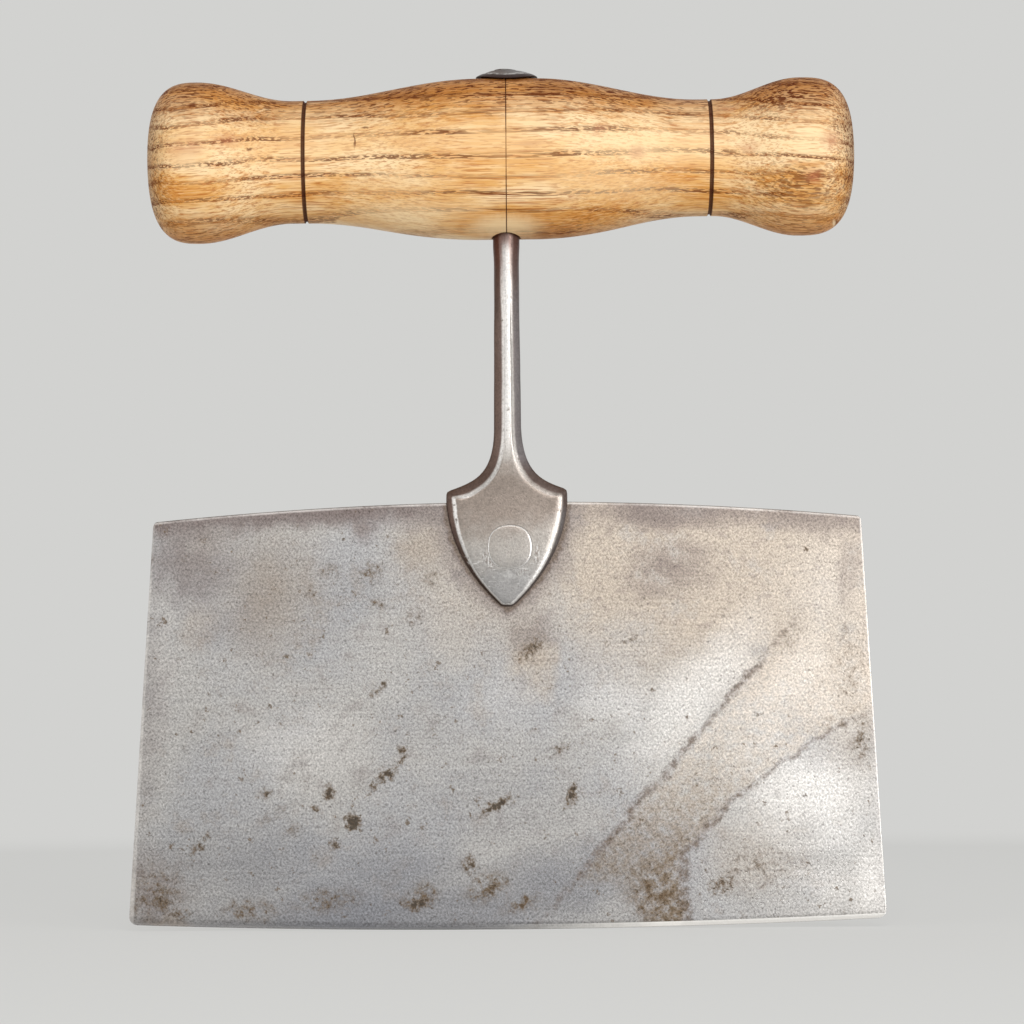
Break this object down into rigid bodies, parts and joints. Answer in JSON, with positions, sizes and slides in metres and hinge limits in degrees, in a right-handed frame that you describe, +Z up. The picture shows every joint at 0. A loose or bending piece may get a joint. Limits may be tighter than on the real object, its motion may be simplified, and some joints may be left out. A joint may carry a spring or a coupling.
{
  "type": "herb chopper",
  "caption": "Kitchen chopper with a wide steel blade riveted into a forged tang, pushed by a turned wooden cross handle held by a peened washer.",
  "frame": {"origin": "middle of the cutting edge, at its lowest point", "axes": "+X along the cutting edge, +Y through the blade, +Z up the tang to the handle"},
  "size_m": [0.1778, 0.0386, 0.204],
  "materials": {
    "blade_steel": "rolled steel with a worn grey patina, stains and fine pitting, bright along the ground edge",
    "forged_iron": "forged and filed, rubbed bright on the front faces, brown in the bevels and near the handle",
    "rivet_iron": "filed flush with the tongue, warm grey",
    "ash_wood": "turned ash, worn smooth and waxed by use, open dark pores, darker ends and scorched grooves",
    "washer_iron": "hammered dark iron"
  },
  "bodies": {
    "root": {"blade": "blade_steel", "tang": "forged_iron", "tongue_rivet": "rivet_iron", "handle": "ash_wood", "tang_washer": "washer_iron"}
  },
  "joints": []
}
